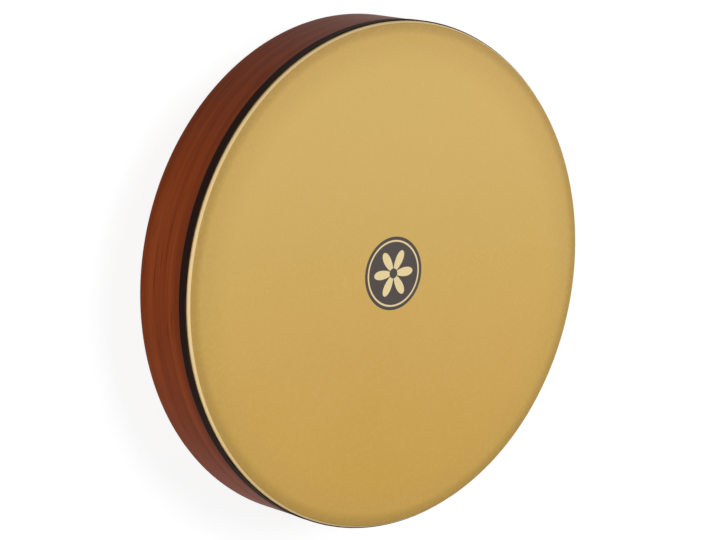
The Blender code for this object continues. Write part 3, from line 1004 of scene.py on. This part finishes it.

# %% [markdown]
# ## The head's film and its print
# The film is a calm golden tan, painted a little lighter towards +Y as a painted sheen. It is
# painted darker where wood lies behind it and just inside the edge, as painted shade. Where it
# turns over the edge it carries a painted highlight, with painted shade on the collar below it.
# The shade and the highlight follow the distance from the drum's axis. The print, a dark disc
# 59 mm across with a thin pale ring and a rosette of six petals, is measured from its own centre.
# A petal's length is a cosine of the turn round that centre. The ink lies on the front, found by
# the way the surface faces, and only its shadow shows through from behind.

# %% Mix the film
RING_SHADE = 20 * MM
EDGE_SHADE = 4 * MM
# The painted highlight on the turned edge lies between these radii.
RIM_HIGHLIGHT_START = TURN_RADIUS + 1.7 * MM
RIM_HIGHLIGHT_END = TURN_RADIUS + 2.2 * MM
COLLAR_TURN = SHELL_FRONT - TURN_ROUND
COLLAR_SHADE = 1.2 * MM
PRINT_RADIUS = 0.0295
PRINT_CENTRE = Vector((-0.0007, 0.0030))
PRINT_RING = 26.0 * MM
PRINT_RING_WIDTH = 1.0 * MM
INK_EDGE = 0.00012
INK_SHADOW = 0.15
PETALS = 6
PETAL_REACH = 0.0200
PETAL_ROOT = 0.0040


def head_finish():
    finish = Finish("golden_film", Specular_IOR_Level=0.2)
    x, y, z, radius = finish.axes()
    cloud = finish.noise(9.0, 4.0, 0.6)
    fibre = finish.noise(420.0, 3.0, 0.6)
    # Painted sheen: the face is painted lighter towards +Y.
    painted_sheen = finish.step(y + (cloud - 0.5) * 0.08, -0.22, 0.16)
    colour = finish.mix(painted_sheen, screen(199, 154, 65), screen(208, 173, 96))
    colour = finish.mix(cloud * 0.25, colour, screen(214, 179, 102))
    # Painted shade: the film is darker where the ring lies behind it, and darker still just inside the
    # edge.
    ring_painted_shade = finish.step(radius, RING_INNER - RING_SHADE, RING_OUTER)
    colour = finish.mix(ring_painted_shade * 0.5, colour, screen(190, 154, 78))
    inner_edge_painted_shade = finish.step(radius, RING_OUTER - EDGE_SHADE, TURN_RADIUS)
    colour = finish.mix(inner_edge_painted_shade * 0.7, colour, screen(166, 131, 63))
    # Painted highlight on the turned edge, with painted shade on the collar below it.
    rim_painted_highlight = finish.step(radius, RIM_HIGHLIGHT_START, RIM_HIGHLIGHT_END)
    shaded = finish.step(z, COLLAR_TURN + COLLAR_SHADE, COLLAR_TURN)
    pale = finish.mix(shaded, screen(228, 199, 146), screen(168, 140, 84))
    colour = finish.mix(rim_painted_highlight, colour, pale)
    colour = finish.mix(finish.step(fibre, 0.45, 0.75) * 0.08, colour, screen(236, 212, 158))
    x, y = x - PRINT_CENTRE.x, y - PRINT_CENTRE.y
    edge = finish.math("SQRT", x * x + y * y) + (fibre - 0.5) * INK_EDGE
    front = finish.facing_up()
    shown = front * (1 - INK_SHADOW) + INK_SHADOW
    inside = finish.step(edge, PRINT_RADIUS, PRINT_RADIUS - INK_EDGE) * shown
    ink = finish.mix(cloud, screen(60, 51, 48), screen(68, 59, 55))
    colour = finish.mix(inside, colour, ink)
    turn = finish.math("ARCTAN2", y, x)
    petal = finish.math("ABSOLUTE", finish.math("COSINE", turn * (PETALS / 2))) * PETAL_REACH
    root = finish.step(edge, PETAL_ROOT, PETAL_ROOT + INK_EDGE)
    pattern = finish.step(petal - edge, 0.0, INK_EDGE) * root
    pattern = pattern + finish.line(edge, PRINT_RING, PRINT_RING_WIDTH)
    pale_ink = pattern * front * finish.step(fibre, 0.15, 0.3)
    colour = finish.mix(pale_ink, colour, screen(232, 210, 156))
    finish.set(Base_Color=colour, Roughness=0.52 + cloud * 0.08 + fibre * 0.06 - inside * 0.12)
    finish.bump(fibre, 0.00004, 0.5)
    return finish.material


# %% [markdown]
# ## Band, paint and plating
# The band is a matt strip with a slight grain, rubbed paler in places along both edges. The
# brackets are powder coated, which leaves a skin like orange peel. The screws, nuts and plates are
# plated, with fine clouds in the polish.


# %% Mix the band and the metals
EDGE_WEAR = 0.0009


def band_finish():
    finish = Finish("black_band", Specular_IOR_Level=0.04)
    z = finish.axes()[2]
    leather = finish.noise(900.0, 4.0, 0.6)
    wipe = finish.noise(18.0, 3.0)
    colour = finish.mix(wipe, screen(18, 8, 4), screen(30, 14, 8))
    rubbed = finish.step(z, BAND_LOW + EDGE_WEAR, BAND_LOW)
    rubbed = rubbed + finish.step(z, BAND_HIGH - EDGE_WEAR, BAND_HIGH)
    rubbed = rubbed * finish.step(finish.noise(60.0, 4.0), 0.3, 0.7)
    colour = finish.mix(rubbed * 0.7, colour, screen(74, 56, 46))
    finish.set(Base_Color=colour, Roughness=0.55 + wipe * 0.2)
    finish.bump(leather, 0.00008, 0.6)
    return finish.material


def coated_steel():
    finish = Finish("black_powder_coat", Specular_IOR_Level=0.5)
    peel = finish.noise(900.0, 2.0)
    dust = finish.noise(60.0, 4.0)
    colour = finish.mix(dust, screen(34, 34, 36), screen(52, 52, 54))
    finish.set(Base_Color=colour, Roughness=0.42 + dust * 0.16)
    finish.bump(peel, 0.00006, 0.5)
    return finish.material


def plated_steel():
    finish = Finish("plated_steel", Metallic=1.0)
    cloud = finish.noise(160.0, 3.0)
    scratch = finish.noise(1500.0, 2.0, stretch=(1, 1, 0.15))
    colour = finish.mix(cloud, screen(196, 198, 200), screen(214, 208, 192))
    finish.set(Base_Color=colour, Roughness=0.22 + cloud * 0.14 + scratch * 0.08)
    finish.bump(scratch, 0.00001, 0.4)
    return finish.material


# %% Give each piece its finish
FINISHES = {
    "shell_wood": shell_wood,
    "ring_wood": ring_wood,
    "head": head_finish(),
    "cover_band": band_finish(),
    "bracket_steel": coated_steel(),
    "zinc_steel": plated_steel(),
    "screw_steel": plated_steel(),
}
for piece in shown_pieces():
    piece.data.materials.clear()
    piece.data.materials.append(FINISHES[piece["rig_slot"]])

# %% [markdown]
# ## Floor
# The drum rests on a wide pale floor. A round hole under it, up to where the back rim starts to
# round, lets light into the open back, and the floor is clear from below, so the mechanism can be
# looked at from underneath. Some glow, seen only by the camera, in reflections and through glass,
# takes the pale floor to white and leaves the drum's shadow on it.

# %% Lay the floor
FLOOR_RADIUS = 6.0
FLOOR_HOLE = SHELL_OUTER - BACK_ROUND
FLOOR_GLOW = 0.80


def floor_shape():
    shape = bmesh.new()
    bmesh.ops.create_circle(shape, segments=96, radius=FLOOR_HOLE)
    made = bmesh.ops.extrude_edge_only(shape, edges=list(shape.edges))["geom"]
    for vert in (item for item in made if isinstance(item, bmesh.types.BMVert)):
        vert.co = vert.co.normalized() * FLOOR_RADIUS
    shape.normal_update()
    bmesh.ops.reverse_faces(shape, faces=[face for face in shape.faces if face.normal.z < 0])
    return shape


def direct_sight(finish):
    """1 for rays from the camera, from a reflection or through glass, and 0 for the light that fills."""
    kinds = ("Camera", "Glossy", "Transmission")
    seen = [finish.node("ShaderNodeLightPath", output=f"Is {kind} Ray") for kind in kinds]
    return finish.math("MAXIMUM", finish.math("MAXIMUM", seen[0], seen[1]), seen[2])


def floor_finish():
    finish = Finish("pale_floor", Roughness=0.9, Specular_IOR_Level=0.0, Emission_Strength=1.0)
    speck = finish.noise(40.0, 3.0)
    glow = direct_sight(finish) * FLOOR_GLOW
    colour = finish.mix(speck, (0.28, 0.28, 0.28, 1.0), (0.30, 0.30, 0.30, 1.0))
    finish.set(Base_Color=colour, Emission_Color=finish.vector(glow, glow, glow))
    clear = finish.node("ShaderNodeBsdfTransparent")
    below = finish.node("ShaderNodeNewGeometry", output="Backfacing")
    top = Socket(finish, finish.shader.outputs[0])
    both = finish.node("ShaderNodeMixShader", inputs={0: below, 1: top, 2: clear})
    finish.feed(finish.tree.nodes["Material Output"].inputs["Surface"], both)
    return finish.material


floor_mesh = bpy.data.meshes.new("floor")
floor = bpy.data.objects.new("floor", floor_mesh)
shape = floor_shape()
shape.to_mesh(floor_mesh)
shape.free()
floor_mesh.materials.append(floor_finish())
CRATE.objects.link(floor)
print(f"floor with a hole {FLOOR_HOLE * 2000:.0f} mm across")

# %% [markdown]
# ## Light
# The photograph has soft light on the face and on the left of the wall, and less on the wall's
# ends. A large lamp above at the right lights the face and a low one at the left lights the wall.
# A weak one fills the near side, and one below lights the open back. The sky is white where it is
# seen or reflected and weaker as a fill, by the same rule as the floor's glow.

# %% Hang the lamps
WORLD_FILL = 0.15


def lamp(name, place, size, power):
    """A square area lamp that points at the middle of the drum."""
    data = bpy.data.lights.new(name, "AREA")
    data.size = size
    data.energy = power
    item = bpy.data.objects.new(name, data)
    item.location = place
    item.rotation_euler = (Vector((0, 0, FACE / 2)) - Vector(place)).to_track_quat("-Z", "Y").to_euler()
    CRATE.objects.link(item)
    return item


lamps = [
    lamp("key_softbox", (-2.5, 0.1, 1.0), 1.2, 54),
    lamp("low_softbox", (-1.6, -1.8, 0.6), 1.0, 2),
    lamp("top_softbox", (1.9, 0.6, 2.3), 2.0, 72),
    lamp("back_softbox", (-0.5, -0.4, -1.6), 1.2, 22),
]
print(f"{len(lamps)} lamps, {sum(item.data.energy for item in lamps):.0f} W together")

# %% Fill with a white sky
world = bpy.data.worlds.new("studio")
world.use_nodes = True
bpy.context.scene.world = world


class Sky(Finish):
    """The same node helpers, on the world's tree."""

    def __init__(self, world):
        self.tree = world.node_tree


sky = Sky(world)
fill = sky.node("ShaderNodeBackground", inputs={"Color": (1, 1, 1, 1), "Strength": WORLD_FILL})
white = sky.node("ShaderNodeBackground", inputs={"Color": (1, 1, 1, 1), "Strength": 1.0})
both = sky.node("ShaderNodeMixShader", inputs={0: direct_sight(sky), 1: fill, 2: white})
sky.feed(world.node_tree.nodes["World Output"].inputs["Surface"], both)
print(f"sky fills with {WORLD_FILL} of white")

# %% [markdown]
# ## Camera
# The photograph looks at the face from the left and slightly above, with the drum standing. Here
# the drum lies down, so the same view is from high up at its left, and the camera is rolled so
# that the drum's +Y points up the picture. The distance and the lens come from the photographed
# outlines of the face and the shell.

# %% Place the camera
CAMERA_PLACE = Vector((-1.5578, 0.4793, 1.8522))
CAMERA_AIM = Vector((-0.0374, 0.0105, FACE))
CAMERA_LENS = 154.06

camera_data = bpy.data.cameras.new("camera")
camera_data.lens = CAMERA_LENS
camera_data.clip_start = 0.02
camera = bpy.data.objects.new("camera", camera_data)
CRATE.objects.link(camera)
forward = (CAMERA_AIM - CAMERA_PLACE).normalized()
right = forward.cross(Vector((0, 1, 0))).normalized()
up = right.cross(forward)
turned = Matrix((right, up, -forward)).transposed().to_4x4()
camera.matrix_world = Matrix.Translation(CAMERA_PLACE) @ turned
bpy.context.scene.camera = camera
bpy.context.scene.view_settings.view_transform = "Standard"
print(f"camera {(CAMERA_AIM - CAMERA_PLACE).length:.2f} m from the face")
